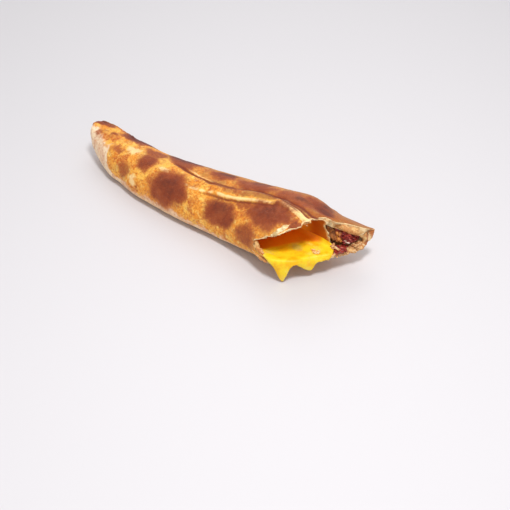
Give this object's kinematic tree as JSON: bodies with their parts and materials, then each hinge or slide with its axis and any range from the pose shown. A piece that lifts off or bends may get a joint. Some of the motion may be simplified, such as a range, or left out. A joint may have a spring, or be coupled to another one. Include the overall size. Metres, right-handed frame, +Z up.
{
  "type": "pide half",
  "caption": "Torn half of a closed boat-shaped pide: baked dough round a pocket of melted cheese that runs over the lip and a pocket of cured meat.",
  "frame": {"origin": "middle of the bounding box in plan, on the surface that the underside rests on", "axes": "+X from the closed tail to the torn mouth, +Y away from the puffed near side towards the sunken rear lobe, +Z up"},
  "size_m": [0.327, 0.0892, 0.0582],
  "materials": {
    "baked_dough": "baked, dry to slightly oiled",
    "melted_cheese": "glossy",
    "cured_meat": "satin, greasy"
  },
  "bodies": {
    "root": {"crust": "baked_dough", "cheese": "melted_cheese", "meat": "cured_meat"}
  },
  "joints": []
}
